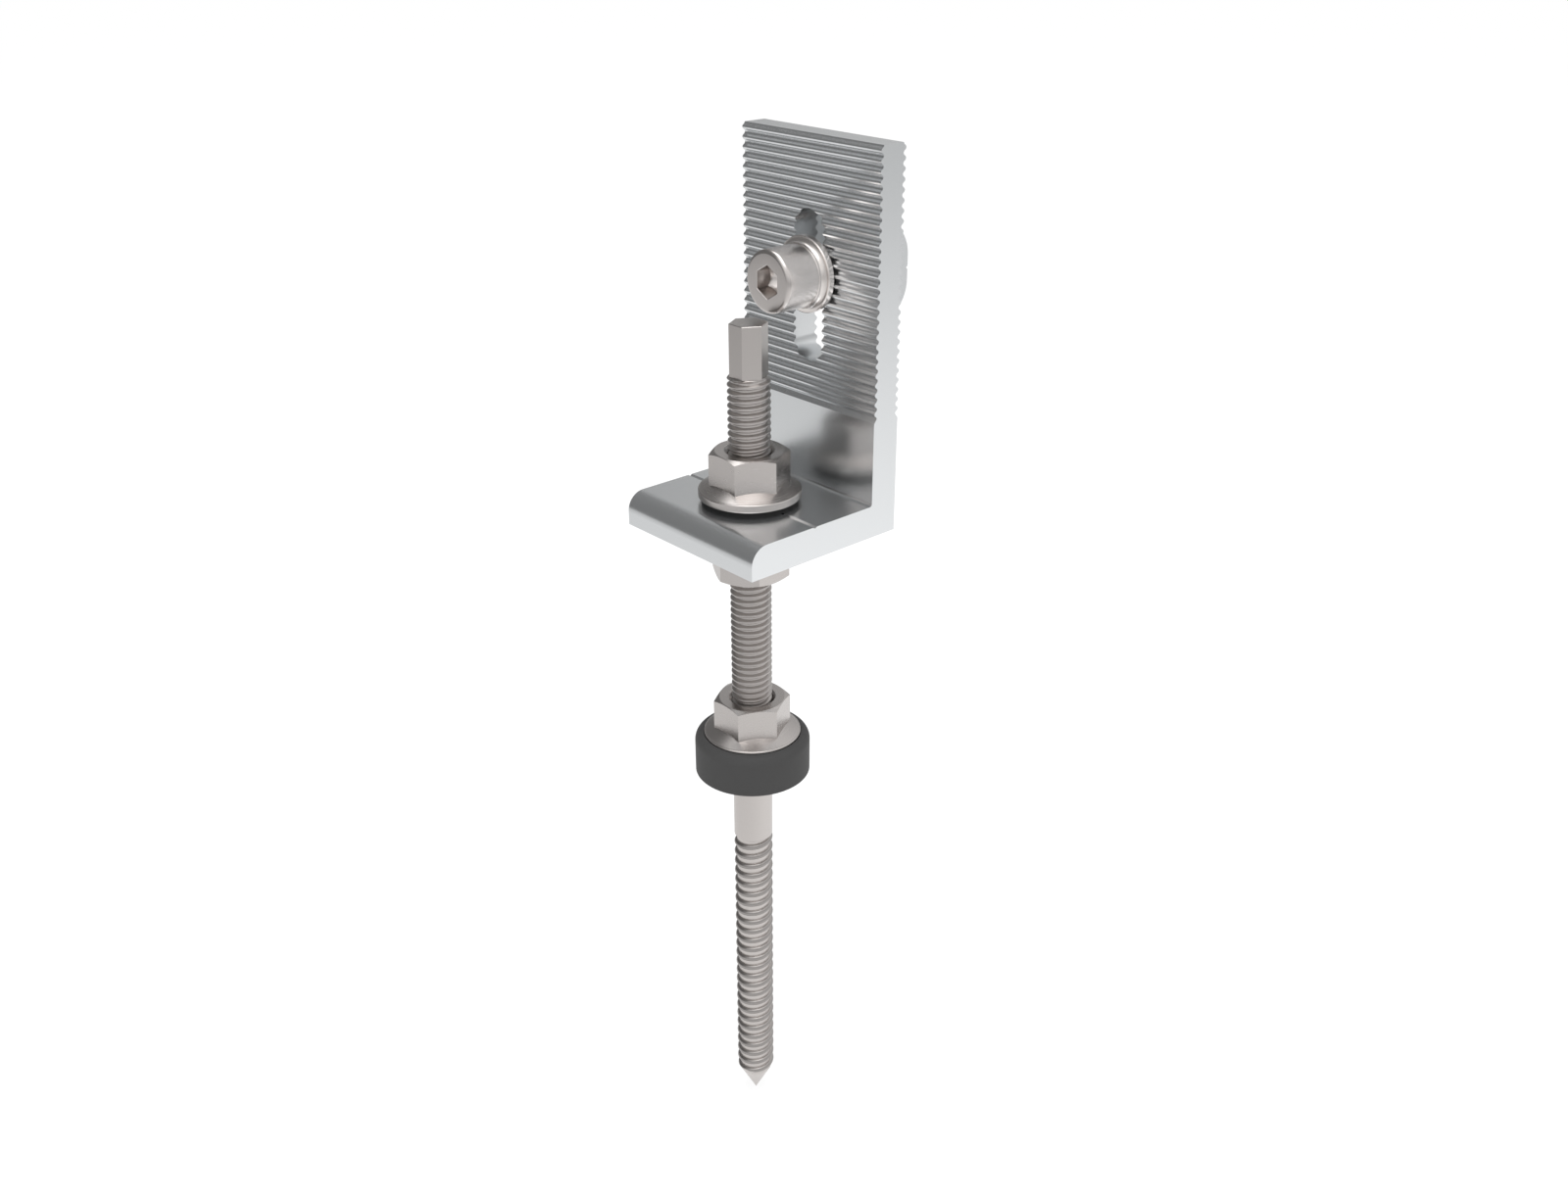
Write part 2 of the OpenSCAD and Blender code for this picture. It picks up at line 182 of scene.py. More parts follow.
class Finishes(bpy.types.PropertyGroup):
    """Colours and roughness of the surfaces."""
    aluminium: tint("Aluminium", "Colour of the extruded aluminium", (0.735, 0.75, 0.76))
    aluminium_rough: FloatProperty(name="Aluminium roughness", description="Blur of its reflections",
                                   default=0.235, min=0.0, max=1.0, subtype="FACTOR")
    stainless: tint("Stainless steel", "Colour of nuts, bolt and screw", (0.50, 0.472, 0.456))
    stainless_rough: FloatProperty(name="Steel roughness", description="Blur of its reflections",
                                   default=0.32, min=0.0, max=1.0, subtype="FACTOR")
    seal: tint("Sealing rubber", "Colour of the sealing washer", (0.0585, 0.058, 0.058))
    # Near black, darker than the rubber: besides the washer's own colour, this stands in for the shade
    # in the gap under the top nut's flange and its reflection in the foot, so it is partly painted
    # shade
    washer: tint("Thin washer", "Colour of the thin washer under the top nut", (0.012, 0.012, 0.012))


class Studio(bpy.types.PropertyGroup):
    """Camera, floor and lights of the photograph."""
    lens: FloatProperty(name="Lens", description="Focal length in millimetres", default=35.0, min=1.0)
    camera: FloatVectorProperty(name="Camera", description="Place of the camera", size=3,
                                default=(0.225664, -0.195021, 0.185821), subtype="XYZ", unit="LENGTH")
    turn: FloatProperty(name="Turn", description="Turn of the camera about Z",
                        default=math.radians(47.792), unit="ROTATION", subtype="ANGLE")
    pitch: FloatProperty(name="Pitch", description="How far the camera looks down",
                         default=math.radians(25.762), unit="ROTATION", subtype="ANGLE")
    floor: length("Floor", "Half the width of the floor", 6.0)
    top_light: FloatProperty(name="Top light", description="Power of the soft light overhead",
                             default=9.0, min=0.0, unit="POWER")
    side_light: FloatProperty(name="Side light", description="Power of the soft light above the camera",
                              default=1.5, min=0.0, unit="POWER")
    fill: FloatProperty(name="Fill", description="Strength of the light from all round",
                        default=0.75, min=0.0)


# Surfaces

def angles(columns):
    """Angle of each column of a grid that closes on itself."""
    return np.arange(columns) * (2 * np.pi / columns)


def hex_radius(flats, theta, turn=0.0):
    """Distance from the middle to the side of a hexagon in the direction theta: half the flats
    over the cosine of the angle to the nearest side's normal. A corner lies at angle turn."""
    a = np.mod(theta - turn, 2 * HEX_HALF) - HEX_HALF
    return flats / 2 / np.cos(a)


def turned(profile, columns, tone=1.0):
    """Rows of a turned surface: each (radius, height) of the profile carried round Z.
    A radius may be an array with one value for each column. Returns radii and heights as grids,
    no jump between the last and the first column, and the tone of the surface: its painted light
    and shade."""
    r = np.stack([np.broadcast_to(np.asarray(p[0], float), (columns,)) for p in profile])
    z = np.stack([np.broadcast_to(np.asarray(p[1], float), (columns,)) for p in profile])
    return r, z, 0, np.full_like(r, tone)


def helix(shape, pitch, low, high, core, depth, columns, fades, painted_shades, phase=0.0, limit=None):
    """Rows that follow a right-hand helix. Row k lies at height low - pitch + pitch * (turns of
    k + phase + angle / full turn), held between low and high, and its radius is core + depth *
    profile, where the profile is the thread's outline over one pitch. The thread fades in and
    out over the two lengths of fades. limit, a function of the height, gives the largest radius
    of a cone that cuts the thread. shape is a list of (share of a pitch, share of the depth) and
    painted_shades are the painted light and shade at the root, at the crest and on the cone.
    Returns radii, heights, the number of rows in one turn and the painted light and shade of the
    surface as its tone."""
    step, rise = np.array(shape, float).T
    turns = int(math.ceil((high - low) / pitch)) + 4
    s = (np.arange(turns)[:, None] + step[None, :]).ravel() + phase - 1
    h = np.tile(rise, turns)[:, None]
    z = low - pitch + pitch * (s[:, None] + angles(columns)[None, :] / (2 * np.pi))
    z = np.clip(z, low, high)
    ease = np.clip((z - low) / fades[0], 0, 1) * np.clip((high - z) / fades[1], 0, 1)
    ease = ease * ease * (3 - 2 * ease)
    r = core + depth * h * ease
    # Painted shading given for the root and the crest, blended by the thread's height
    tone = painted_shades[0] + (painted_shades[1] - painted_shades[0]) * (h * ease) ** PAINTED_SHADE_POWER
    if limit is not None:
        cone = limit(z)
        # Where the cone cuts the thread, the surface takes the painted shading given for the cone
        tone = np.where(cone < r, painted_shades[2], tone)
        r = np.minimum(r, cone)
    return r, z, len(shape), tone


def cells(i, j, at):
    """The four corners of each cell of a grid, where at gives the number of a point."""
    return np.stack([at(i, j), at(i, j + 1), at(i + 1, j + 1), at(i + 1, j)], -1).reshape(-1, 4)


def grid_mesh(name, parts, columns, place):
    """One closed mesh from stacked grids that run from the low pole to the high pole. The first
    and last row of neighbouring grids lie on each other and are merged. place turns x, y, z
    arrays into the object's frame."""
    theta = angles(columns)
    points, quads, first = [], [], 0
    painted_shades = np.concatenate([tone.ravel() for _, _, _, tone in parts])
    for r, z, jump, _ in parts:
        rows = r.shape[0]
        x, y, w = place(r * np.cos(theta), r * np.sin(theta), z)
        points.append(np.stack([x, y, w], axis=-1).reshape(-1, 3))
        i, j = np.meshgrid(np.arange(rows - 1), np.arange(columns), indexing="ij")

        def at(row, col):
            """Number of the point in a row and a column. The last column is the first one again,
            a turn of the helix further on."""
            wraps = col == columns
            return first + np.minimum(row + wraps * jump, rows - 1) * columns + col % columns

        quads.append(cells(i, j, at))
        first += rows * columns
    points = np.concatenate(points)
    quads = np.concatenate(quads)
    mesh = bpy.data.meshes.new(name)
    mesh.vertices.add(len(points))
    mesh.vertices.foreach_set("co", points.ravel())
    mesh.loops.add(quads.size)
    mesh.loops.foreach_set("vertex_index", quads.ravel())
    mesh.polygons.add(len(quads))
    mesh.polygons.foreach_set("loop_start", np.arange(0, quads.size, 4))
    mesh.polygons.foreach_set("loop_total", np.full(len(quads), 4))
    mesh.update(calc_edges=True)
    # The painted light and shade of every point goes on the mesh as its tone
    mesh.attributes.new("tone", "FLOAT", "POINT").data.foreach_set("value", painted_shades.astype(np.float32))
    work = bmesh.new()
    work.from_mesh(mesh)
    bmesh.ops.remove_doubles(work, verts=work.verts, dist=MERGE)
    bmesh.ops.dissolve_degenerate(work, edges=work.edges, dist=MERGE)
    work.to_mesh(mesh)
    work.free()
    mesh.validate()
    mesh.shade_smooth()
    mesh.set_sharp_from_angle(angle=SHARP)
    return mesh


def add_piece(name, mesh, material, replaced):
    """A finished piece in place of CAD nodes, riding on the part's one body."""
    piece = bpy.data.objects.new(name, mesh)
    bpy.context.scene.collection.objects.link(piece)
    mesh.materials.append(material)
    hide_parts(*replaced)
    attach(piece, "root")


# Finishes

def new_group(name, inputs, outputs):
    """A shader node group with named sockets. Returns the tree and its in and out nodes."""
    tree = bpy.data.node_groups.new(name, "ShaderNodeTree")
    for label, kind, value in inputs:
        socket = tree.interface.new_socket(name=label, in_out="INPUT", socket_type=kind)
        if value is not None:
            socket.default_value = value
    for label, kind in outputs:
        tree.interface.new_socket(name=label, in_out="OUTPUT", socket_type=kind)
    return tree, tree.nodes.new("NodeGroupInput"), tree.nodes.new("NodeGroupOutput")


def math_node(tree, kind, a, b=None, clamp=False):
    """A Math node fed by sockets or numbers. Returns its output."""
    node = tree.nodes.new("ShaderNodeMath")
    node.operation = kind
    node.use_clamp = clamp
    for k, value in enumerate((a, b)):
        if value is None:
            continue
        if isinstance(value, (int, float)):
            node.inputs[k].default_value = value
        else:
            tree.links.new(value, node.inputs[k])
    return node.outputs[0]


def mix_colours(tree, factor, a, b):
    """Mix of two colours by a factor, all three given as sockets. Returns the colour output."""
    node = tree.nodes.new("ShaderNodeMix")
    node.data_type = "RGBA"
    tree.links.new(factor, node.inputs[0])
    tree.links.new(a, node.inputs[COLOUR_A])
    tree.links.new(b, node.inputs[COLOUR_B])
    return node.outputs[COLOUR_OUT]


def shade_group():
    """Surface variation shared by all finishes. A long stretched noise gives drawn or turned
    lines, a broad one gives slow changes of tone, and a fine one gives speckle. It puts out a
    colour between the two given ones, a roughness and a height."""
    tree, gin, gout = new_group(
        "surface_variation",
        [("Vector", "NodeSocketVector", None), ("Light", "NodeSocketColor", None),
         ("Dark", "NodeSocketColor", None), ("Line scale", "NodeSocketVector", None),
         ("Broad scale", "NodeSocketFloat", 30.0), ("Speckle scale", "NodeSocketFloat", 3000.0),
         ("Line share", "NodeSocketFloat", 0.5), ("Speckle share", "NodeSocketFloat", 0.2),
         ("Roughness", "NodeSocketFloat", 0.3), ("Roughness range", "NodeSocketFloat", 0.1)],
        [("Color", "NodeSocketColor"), ("Roughness", "NodeSocketFloat"), ("Height", "NodeSocketFloat")])
    links = tree.links
    scaled = tree.nodes.new("ShaderNodeVectorMath")
    scaled.operation = "MULTIPLY"
    links.new(gin.outputs["Vector"], scaled.inputs[0])
    links.new(gin.outputs["Line scale"], scaled.inputs[1])
    lines = tree.nodes.new("ShaderNodeTexNoise")
    lines.inputs["Scale"].default_value = 1.0
    lines.inputs["Detail"].default_value = 3.0
    links.new(scaled.outputs[0], lines.inputs["Vector"])
    broad = tree.nodes.new("ShaderNodeTexNoise")
    broad.inputs["Detail"].default_value = 2.0
    links.new(gin.outputs["Vector"], broad.inputs["Vector"])
    links.new(gin.outputs["Broad scale"], broad.inputs["Scale"])
    speckle = tree.nodes.new("ShaderNodeTexNoise")
    speckle.inputs["Detail"].default_value = 1.0
    links.new(gin.outputs["Vector"], speckle.inputs["Vector"])
    links.new(gin.outputs["Speckle scale"], speckle.inputs["Scale"])
    line_part = math_node(tree, "MULTIPLY", lines.outputs["Fac"], gin.outputs["Line share"])
    speckle_part = math_node(tree, "MULTIPLY", speckle.outputs["Fac"], gin.outputs["Speckle share"])
    height = math_node(tree, "ADD", line_part, speckle_part)
    rest = math_node(tree, "SUBTRACT", 1.0, gin.outputs["Line share"])
    rest = math_node(tree, "SUBTRACT", rest, gin.outputs["Speckle share"])
    broad_part = math_node(tree, "MULTIPLY", broad.outputs["Fac"], rest)
    mask = math_node(tree, "ADD", height, broad_part, clamp=True)
    colour = mix_colours(tree, mask, gin.outputs["Dark"], gin.outputs["Light"])
    links.new(colour, gout.inputs["Color"])
    swing = math_node(tree, "SUBTRACT", mask, 0.5)
    swing = math_node(tree, "MULTIPLY", swing, gin.outputs["Roughness range"])
    rough = math_node(tree, "ADD", gin.outputs["Roughness"], swing, clamp=True)
    links.new(rough, gout.inputs["Roughness"])
    links.new(height, gout.inputs["Height"])
    return tree


def round_coordinates_group():
    """Coordinates for turned parts: distance from the axis, height along it and a small share of
    the angle, so that lines run round the part. Axis is 0 for Z and 1 for Y, Centre is a point
    on the axis."""
    tree, gin, gout = new_group(
        "turned_coordinates",
        [("Vector", "NodeSocketVector", None), ("Centre", "NodeSocketVector", None),
         ("Along Y", "NodeSocketFloat", 0.0)],
        [("Vector", "NodeSocketVector")])
    links = tree.links
    moved = tree.nodes.new("ShaderNodeVectorMath")
    moved.operation = "SUBTRACT"
    links.new(gin.outputs["Vector"], moved.inputs[0])
    links.new(gin.outputs["Centre"], moved.inputs[1])
    split = tree.nodes.new("ShaderNodeSeparateXYZ")
    links.new(moved.outputs[0], split.inputs[0])
    along = gin.outputs["Along Y"]
    across = math_node(tree, "SUBTRACT", 1.0, along)
    second = math_node(tree, "ADD", math_node(tree, "MULTIPLY", split.outputs[1], across),
                       math_node(tree, "MULTIPLY", split.outputs[2], along))
    height = math_node(tree, "ADD", math_node(tree, "MULTIPLY", split.outputs[2], across),
                       math_node(tree, "MULTIPLY", split.outputs[1], along))
    square = math_node(tree, "ADD", math_node(tree, "MULTIPLY", split.outputs[0], split.outputs[0]),
                       math_node(tree, "MULTIPLY", second, second))
    radius = math_node(tree, "SQRT", square)
    angle = math_node(tree, "MULTIPLY", math_node(tree, "ARCTAN2", second, split.outputs[0]), 0.001)
    join = tree.nodes.new("ShaderNodeCombineXYZ")
    links.new(radius, join.inputs[0])
    links.new(height, join.inputs[1])
    links.new(angle, join.inputs[2])
    links.new(join.outputs[0], gout.inputs["Vector"])
    return tree


def groups():
    """The shared node groups, built once."""
    made = bpy.data.node_groups
    if "surface_variation" not in made:
        shade_group()
        round_coordinates_group()
    return made["surface_variation"], made["turned_coordinates"]


def surface(name, light, dark, rough, *, rough_range, line_scale, line_share, speckle_scale,
            speckle_share, bump, metallic, broad, turned_about=None, specular=0.5, painted_shading=False):
    """A material: object coordinates, turned about an axis if one is given, through the shared
    surface variation into the shader's colour, roughness and bump. With painted_shading the
    colour is made lighter or darker by the tone that its mesh carries: painted light and shade."""
    variation, round_group = groups()
    mat = bpy.data.materials.new(name)
    mat.use_nodes = True
    tree = mat.node_tree
    shader = tree.nodes["Principled BSDF"]
    coord = tree.nodes.new("ShaderNodeTexCoord")
    vector = coord.outputs["Object"]
    if turned_about is not None:
        centre, along_y = turned_about
        ring = tree.nodes.new("ShaderNodeGroup")
        ring.node_tree = round_group
        ring.inputs["Centre"].default_value = centre
        ring.inputs["Along Y"].default_value = along_y
        tree.links.new(vector, ring.inputs["Vector"])
        vector = ring.outputs["Vector"]
    node = tree.nodes.new("ShaderNodeGroup")
    node.node_tree = variation
    tree.links.new(vector, node.inputs["Vector"])
    node.inputs["Light"].default_value = (*light, 1.0)
    node.inputs["Dark"].default_value = (*dark, 1.0)
    node.inputs["Line scale"].default_value = line_scale
    node.inputs["Broad scale"].default_value = broad
    node.inputs["Speckle scale"].default_value = speckle_scale
    node.inputs["Line share"].default_value = line_share
    node.inputs["Speckle share"].default_value = speckle_share
    node.inputs["Roughness"].default_value = rough
    node.inputs["Roughness range"].default_value = rough_range
    colour = node.outputs["Color"]
    # Painted light and shade: the colour is scaled by the tone on the mesh
    if painted_shading:
        mark = tree.nodes.new("ShaderNodeAttribute")
        mark.attribute_name = "tone"
        shaded = tree.nodes.new("ShaderNodeVectorMath")
        shaded.operation = "SCALE"
        tree.links.new(colour, shaded.inputs[0])
        tree.links.new(mark.outputs["Fac"], shaded.inputs["Scale"])
        colour = shaded.outputs[0]
    tree.links.new(colour, shader.inputs["Base Color"])
    tree.links.new(node.outputs["Roughness"], shader.inputs["Roughness"])
    relief = tree.nodes.new("ShaderNodeBump")
    relief.inputs["Strength"].default_value = bump
    relief.inputs["Distance"].default_value = RELIEF
    tree.links.new(node.outputs["Height"], relief.inputs["Height"])
    tree.links.new(relief.outputs["Normal"], shader.inputs["Normal"])
    shader.inputs["Metallic"].default_value = metallic
    shader.inputs["Specular IOR Level"].default_value = specular
    return mat


def scaled(colour, share):
    """A colour made lighter or darker by a factor."""
    return tuple(min(1.0, c * share) for c in colour)


def dress(node, material):
    """Gives a CAD node its material and leaves its mesh as it is."""
    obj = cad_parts[node]
    if not obj.material_slots:
        obj.data.materials.append(material)
    for s in obj.material_slots:
        s.material = material


def stainless(name, centre, along_y, rough_add=0.0, painted_shading=True, share=1.0):
    """Turned or rolled stainless steel with fine lines round the part's axis. share lightens the
    colour of the finishes, and rough_add is added to their roughness."""
    f = bpy.context.scene.lf_finishes
    # With painted_shading, the mesh's painted light and shade scale the colour
    return surface(name, scaled(f.stainless, 1.035 * share), scaled(f.stainless, 0.965 * share),
                   f.stainless_rough + rough_add, rough_range=0.05, line_scale=(3200.0, 3200.0, 300.0),
                   line_share=0.5, speckle_scale=1500.0, speckle_share=0.1, bump=0.03, metallic=1.0,
                   broad=60.0, turned_about=(centre, along_y), painted_shading=painted_shading)


# Operators

class LF_OT_hanger_bolt(bpy.types.Operator):
    """Makes the hanger bolt with its helical machine and wood threads"""
    bl_idname = "lf.hanger_bolt"
    bl_label = "Hanger bolt"

    def execute(self, context):
        """Grids from the point up: cone, wood thread, shank, machine thread and hex drive."""
        s = context.scene.lf_bolt
        n = s.columns
        low, high = BOLT_BOX[0][2], BOLT_BOX[1][2]
        drive_low = high - s.drive_height
        root = s.crest / 2 - s.depth
        wood = s.wood_root / 2
        tip = low + 0.15 * MM
        half = s.wood_bead / s.wood_pitch / 2
        bead = [(0.0, 0.0)] + [(0.5 + half * math.sin(a), math.cos(a)) for a in np.radians(BEAD)]

        def cone(z):
            """Radius of the point's cone: it reaches the crests at the point's length."""
            return s.wood_crest / 2 * (z - low) / s.point

        shoulder = 0.5 * MM
        shank = s.shank / 2
        # Painted shade on the point, painted light on the shank, and the threads' painted light and
        # shade
        parts = [
            turned([(0.0, low), (cone(tip), tip)], n, TIP_PAINTED_SHADE),
            helix(bead, s.wood_pitch, tip, -s.shank_below, wood, s.wood_crest / 2 - wood, n,
                  (0.02 * MM, 0.3 * MM), WOOD_PAINTED_SHADE, s.wood_phase, cone),
            turned([(wood, -s.shank_below), (shank, -s.shank_below + shoulder), (shank, -shoulder),
                    (shank, 0.0), (root, shoulder)], n, SHANK_PAINTED_LIGHT),
            helix(METRIC, s.pitch, shoulder, drive_low, root, s.depth, n,
                  (0.6 * MM, 0.35 * MM), MACHINE_PAINTED_SHADE, s.phase),
        ]
        six = hex_radius(s.drive_flats, angles(n))
        inner = np.minimum(six, root) * 0.9
        edge = 0.12 * MM
        step = 0.01 * MM
        parts.append(turned([(root, drive_low), (inner, drive_low), (inner, drive_low + step),
                             (six, drive_low + 2 * step), (six, high - edge), (six - edge, high),
                             (0.0, high)], n))
        mesh = grid_mesh("threaded_hanger_bolt", parts, n, lambda x, y, z: (x, y, z))
        steel = stainless("stainless_bolt_steel_and_painted_shade", (0, 0, 0), 0.0)
        add_piece("threaded_hanger_bolt", mesh, steel, ["hanger_bolt"])
        return {"FINISHED"}


class LF_OT_cap_screw(bpy.types.Operator):
    """Makes the flanged cap screw with its key socket and helical thread"""
    bl_idname = "lf.cap_screw"
    bl_label = "Cap screw"

    def execute(self, context):
        """Grids from the tip to the head, made about Z and laid down along Y."""
        s = context.scene.lf_screw
        n = s.columns
        (_, front, z_low), (_, tip, z_high) = SCREW_BOX
        axis_z = (z_low + z_high) / 2
        top = s.flange_height + s.neck_round + s.head_height
        seat = front + top
        tail = seat - tip
        root = s.crest / 2 - s.depth
        arc = np.linspace(0, np.pi / 2, 9)
        rim, head, deck = s.flange / 2, s.head / 2, s.flange_height
        neck = head + s.neck_round
        under, over = 0.15 * MM, 0.2 * MM
        profile = [(root, 0.0), (rim - under, 0.0), (rim, under), (rim, deck - over),
                   (rim - over, deck), (neck, deck)]
        profile += [(neck - s.neck_round * math.sin(a), deck + s.neck_round * (1 - math.cos(a)))
                    for a in arc[1:]]
        low, deep = deck + s.neck_round, head - s.groove_depth
        profile += [(deep, low + s.groove * 0.25), (deep, low + s.groove * 0.75),
                    (head, low + s.groove)]
        corner = s.head_round
        profile += [(head - corner * (1 - math.cos(a)), top - corner * (1 - math.sin(a)))
                    for a in arc]
        six = hex_radius(s.flats, angles(n), math.radians(90))
        flat = s.flats * 0.43
        widest = s.flats / 2 / math.cos(HEX_HALF)
        slope = (s.socket_flat - s.socket) / (widest - flat)
        wall = s.socket + (widest - six) * slope
        bevel = 0.12 * MM
        floor = top - s.socket_flat
        profile += [(six + bevel, top), (six, top - bevel), (six, top - wall), (flat, floor),
                    (0.0, floor - flat * math.tan(HEX_HALF))]
        # Painted light on the side, neck and flange; painted shade on the face and in the socket
        side = [np.max(p[1]) < top - corner * 0.9 for p in profile]
        tone = np.where([False] + side, HEAD_SIDE_PAINTED_LIGHT, HEAD_FACE_PAINTED_SHADE)[:, None]
        chamfer = 0.4 * MM
        parts = [
            turned([(0.0, tail), (root - chamfer, tail), (root, tail + chamfer)], n),
            helix(METRIC, s.pitch, tail + chamfer, -s.plain, root, s.depth, n,
                  (1.0 * MM, 1.0 * MM), SCREW_PAINTED_SHADE),
            turned([(root, -s.plain)] + profile, n, tone),
        ]
        mesh = grid_mesh("threaded_cap_screw", parts, n, lambda x, y, z: (x, seat - z, axis_z + y))
        steel = stainless("stainless_screw_steel_and_painted_shade", (0, 0, axis_z), 1.0, rough_add=-0.07, share=1.2)
        add_piece("threaded_cap_screw", mesh, steel, ["cap_screw"])
        return {"FINISHED"}


class LF_OT_aluminium(bpy.types.Operator):
    """Finishes the extruded bracket and the slot nut"""
    bl_idname = "lf.aluminium"
    bl_label = "Bracket and slot nut"

    def execute(self, context):
        """Extruded aluminium has drawn lines along X, the direction it was pressed in."""
        f = context.scene.lf_finishes
        for node, share, rough_add, metallic in (("l_bracket", 1.0, 0.0, 0.97),
                                                 ("slot_nut", 0.92, 0.12, 0.8)):
            light, dark = scaled(f.aluminium, 1.02 * share), scaled(f.aluminium, 0.96 * share)
            dress(node, surface(node + "_finish", light, dark, f.aluminium_rough + rough_add,
                                rough_range=0.04, line_scale=(40.0, 3000.0, 3000.0), line_share=0.5,
                                speckle_scale=1600.0, speckle_share=0.12, bump=0.02,
                                metallic=metallic, broad=25.0))
        return {"FINISHED"}


class LF_OT_nuts(bpy.types.Operator):
    """Finishes the three flange nuts"""
    bl_idname = "lf.nuts"
    bl_label = "Flange nuts"

    def execute(self, context):
        """Turned stainless steel about the bolt's axis."""
        mat = stainless("stainless_nut_finish", (0, 0, 0), 0.0, rough_add=-0.05, painted_shading=False,
                        share=1.05)
        for node in ("top_flange_nut", "under_flange_nut", "seal_flange_nut"):
            dress(node, mat)
        return {"FINISHED"}


class LF_OT_rubber(bpy.types.Operator):
    """Finishes the sealing washer and the thin washer under the top nut"""
    bl_idname = "lf.rubber"
    bl_label = "Washers"

    def execute(self, context):
        """Moulded rubber: matte, with a fine speckle and slow changes of tone."""
        f = context.scene.lf_finishes
        # The thin washer's near-black colour is partly painted shade for the gap under the top nut
        for node, colour, rough in (("sealing_washer", f.seal, 0.62), ("foot_washer", f.washer, 0.7)):
            dress(node, surface(node + "_finish", scaled(colour, 1.12), scaled(colour, 0.88), rough,
                                rough_range=0.15, line_scale=(700.0, 700.0, 700.0), line_share=0.2,
                                speckle_scale=3800.0, speckle_share=0.4, bump=0.2, metallic=0.0,
                                broad=90.0, specular=0.25))
        return {"FINISHED"}


def area_light(name, place, target, size, power):
    """A soft square light that looks at a point and shows in no reflection: the tent's bright
    top stands for it there."""
    data = bpy.data.lights.new(name, "AREA")
    data.shape = "SQUARE"
    data.size = size
    data.energy = power
    lamp = bpy.data.objects.new(name, data)
    lamp.location = place
    lamp.rotation_euler = (Vector(target) - Vector(place)).to_track_quat("-Z", "Y").to_euler()
    lamp.visible_glossy = False
    bpy.context.scene.collection.objects.link(lamp)


def seen_mask(tree):
    """1 for camera, glossy and transmission rays, 0 for rays that light diffuse surfaces."""
    path = tree.nodes.new("ShaderNodeLightPath")
    total = math_node(tree, "ADD", path.outputs["Is Camera Ray"], path.outputs["Is Glossy Ray"])
    return math_node(tree, "ADD", total, path.outputs["Is Transmission Ray"], clamp=True)


def smooth(x, low, high):
    """0 below low, 1 above high and an even curve between them."""
    t = np.clip((x - low) / (high - low), 0, 1)
    return t * t * (3 - 2 * t)


def direction(turn, rise):
    """Unit vector of a direction given by its turn about Z and its rise, in degrees."""
    turn, rise = math.radians(turn), math.radians(rise)
    return math.cos(rise) * math.cos(turn), math.cos(rise) * math.sin(turn), math.sin(rise)


def tent_glow(x, y, z):
    """Brightness of the light tent in a direction. The cloth is white with a dimmer horizon. Its
    far and left sides are grey and carry a darker card, which gives the metal its dark
    reflections. Overhead hangs one long lamp, and a round one stands at the front left. All
    bounds are degrees of turn about Z, of rise over the floor or of the distance from a lamp."""
    turn = np.mod(np.degrees(np.arctan2(y, x)), 360)
    rise = np.degrees(np.arcsin(np.clip(z, -1, 1)))
    side = smooth(turn, 78, 118) * (1 - smooth(turn, 236, 275))
    low = GREY_LOW * (1 - smooth(rise, 4, 22)) * (1 - smooth(turn, 150, 185))
    grey = side * (GREY_SIDE * (1 - smooth(rise, 56, 70)) + low)
    card = DARK_CARD * smooth(turn, 120, 172) * side * (1 - smooth(rise, 50, 66))
    horizon = DIM_HORIZON * (1 - side) * (1 - smooth(rise, 2, 26))
    top = DIM_TOP * smooth(rise, 60, 72)
    ax, ay, _ = direction(55, 0)
    across = np.abs(np.degrees(np.arcsin(np.clip(x * ax + y * ay, -1, 1))))
    fx, fy, _ = direction(145, 0)
    along = np.degrees(np.arctan2(z, x * fx + y * fy))
    strip = (1 - smooth(across, 11, 20)) * smooth(along, 60, 66) * (1 - smooth(along, 118, 132))
    kx, ky, kz = direction(290, 55)
    away = np.degrees(np.arccos(np.clip(x * kx + y * ky + z * kz, -1, 1)))
    lamps = np.maximum(LONG_LAMP * strip, ROUND_LAMP * (1 - smooth(away, 10, 22)))
    return 1.0 - grey - card - horizon - top + lamps


def emitter(name):
    """A material without a shader yet, for surfaces that give light. Returns the material, its
    tree and an Emission node."""
    mat = bpy.data.materials.new(name)
    mat.use_nodes = True
    tree = mat.node_tree
    tree.nodes.remove(tree.nodes["Principled BSDF"])
    return mat, tree, tree.nodes.new("ShaderNodeEmission")


